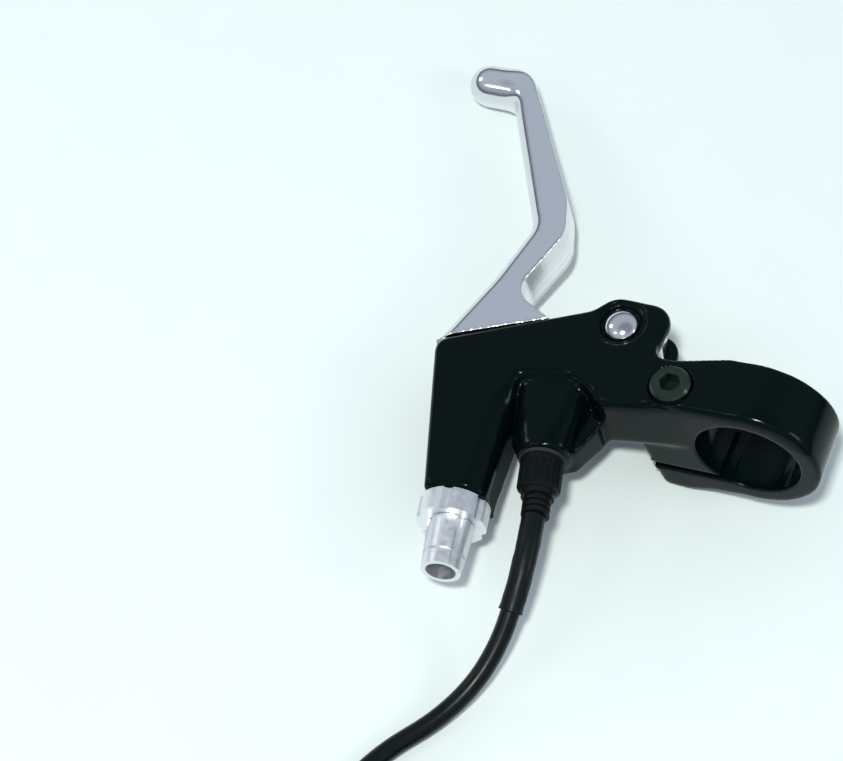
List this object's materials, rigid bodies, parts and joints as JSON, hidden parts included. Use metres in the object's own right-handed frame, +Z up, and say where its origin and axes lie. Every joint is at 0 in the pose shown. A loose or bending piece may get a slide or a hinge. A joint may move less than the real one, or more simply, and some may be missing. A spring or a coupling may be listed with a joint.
{
  "type": "bicycle brake lever",
  "caption": "Aluminium bicycle brake lever with split handlebar clamp, polished blade, slotted cable adjuster and a motor cut-off switch on a coiled lead.",
  "frame": {"origin": "centre of the handlebar bore, at the middle of the clamp's width", "axes": "+Y along the handlebar towards the grip, +Z up from the table that the lever lies on, the lever body on the -X side of the bar"},
  "size_m": [0.1067, 0.2221, 0.0373],
  "materials": {
    "black_casting": "gloss black stove enamel on cast aluminium",
    "polished_blade": "polished, clear-coated forged aluminium",
    "polished_pin": "polished domed head",
    "zinc_steel": "zinc plated",
    "bronze": "plain",
    "nylon": "natural nylon",
    "spring_steel": "drawn wire",
    "black_oxide": "black oxide, oiled",
    "turned_aluminium": "bright turned and anodised",
    "black_plastic": "moulded, satin",
    "soft_black_plastic": "soft moulded, satin",
    "seal_rubber": "matte",
    "sleeve_plastic": "shrunk sleeve, satin",
    "lead_pvc": "smooth PVC jacket, semi-gloss",
    "tie_fabric": "woven hook-and-loop",
    "connector_plastic": "moulded nylon"
  },
  "bodies": {
    "bracket": {"lever_bracket": "black_casting", "pivot_pin": "polished_pin", "pivot_nut": "zinc_steel", "upper_pivot_washer": "nylon", "lower_pivot_washer": "nylon", "blade_return_spring": "spring_steel", "switch_housing": "black_plastic", "plunger_spring": "spring_steel", "switch_terminals": "bronze", "switch_seal": "seal_rubber", "gland_nut": "black_plastic", "strain_relief": "soft_black_plastic", "heat_shrink_sleeve": "sleeve_plastic", "switch_cable": "lead_pvc", "cable_coil": "lead_pvc", "coil_tie": "tie_fabric", "cable_tail": "lead_pvc", "connector_housing": "connector_plastic", "connector_pins": "bronze"},
    "blade": {"brake_blade": "polished_blade", "pivot_bush": "bronze"},
    "plunger": {"switch_plunger": "nylon"},
    "adjuster": {"barrel_adjuster": "turned_aluminium"},
    "lock_ring": {"adjuster_lock_ring": "turned_aluminium"},
    "clamp_screw": {"clamp_bolt": "black_oxide"}
  },
  "joints": [
    {"name": "blade_pivot", "type": "hinge", "parent": "bracket", "child": "blade", "pos_m": [-0.03157, 0.0105, -0.00262], "axis": [0.3007, 0, -0.9537], "range_deg": [0, 30], "stiffness_Nm_per_rad": 0.25, "springref_deg": -28.65, "deforming": ["blade_return_spring"]},
    {"name": "plunger_slide", "type": "slide", "parent": "bracket", "child": "plunger", "axis": [-0.2191, 0.9733, -0.0691], "range_m": [0, 0.0015], "deforming": ["plunger_spring"]},
    {"name": "adjuster_turn", "type": "hinge", "parent": "bracket", "child": "adjuster", "pos_m": [-0.0514, -0.0349, -0.00824], "axis": [0.1553, -0.9867, 0.049], "continuous": true},
    {"name": "lock_ring_turn", "type": "hinge", "parent": "bracket", "child": "lock_ring", "pos_m": [-0.0514, -0.0349, -0.00824], "axis": [0.1553, -0.9867, 0.049], "continuous": true},
    {"name": "clamp_screw_turn", "type": "hinge", "parent": "bracket", "child": "clamp_screw", "pos_m": [-0.01808, -0.0019, 0.00479], "axis": [-0.3007, 0, 0.9537], "continuous": true}
  ],
  "couplings": [
    {"joint": "plunger_slide", "follows": "blade_pivot", "m_per_rad": 0.00285}
  ]
}
